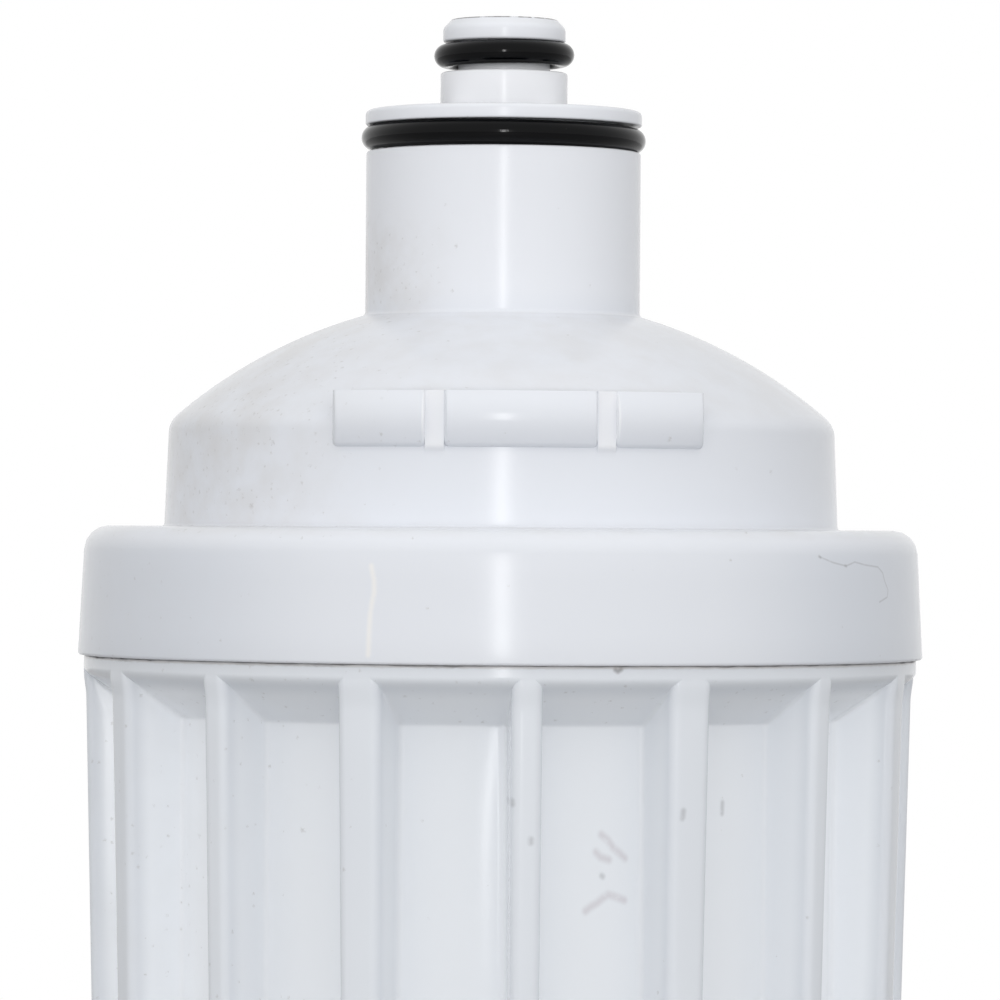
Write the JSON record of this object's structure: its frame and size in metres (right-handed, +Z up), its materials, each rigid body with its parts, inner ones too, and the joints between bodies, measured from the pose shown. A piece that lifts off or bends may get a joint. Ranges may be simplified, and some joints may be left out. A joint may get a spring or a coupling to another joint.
{
  "type": "water filter cartridge",
  "caption": "White quick-change water filter cartridge: ribbed, tapered sump welded to a domed, lugged cap whose neck and spigot carry black ring seals, with a carbon element sealed inside.",
  "frame": {"origin": "centre of the base, on the plane that the cartridge stands on", "axes": "+Z up the cartridge's axis to the spigot, a lug on -Y and another on +Y, +X to the right seen from the front"},
  "size_m": [0.086, 0.086, 0.318],
  "materials": {
    "white_polypropylene": "moulded, semi-gloss",
    "black_rubber": "greased, semi-gloss",
    "end_cap_plastic": "moulded, satin",
    "bonded_carbon": "porous, matte",
    "nonwoven_wrap": "spunbonded",
    "net_plastic": "extruded"
  },
  "bodies": {
    "root": {"sump": "white_polypropylene", "cap": "white_polypropylene", "neck_o_ring": "black_rubber", "spigot_o_ring": "black_rubber", "top_end_cap": "end_cap_plastic", "nipple_o_ring": "black_rubber", "carbon_block": "bonded_carbon", "prefilter_wrap": "nonwoven_wrap", "net_sleeve": "net_plastic", "bottom_end_cap": "end_cap_plastic"}
  },
  "joints": []
}
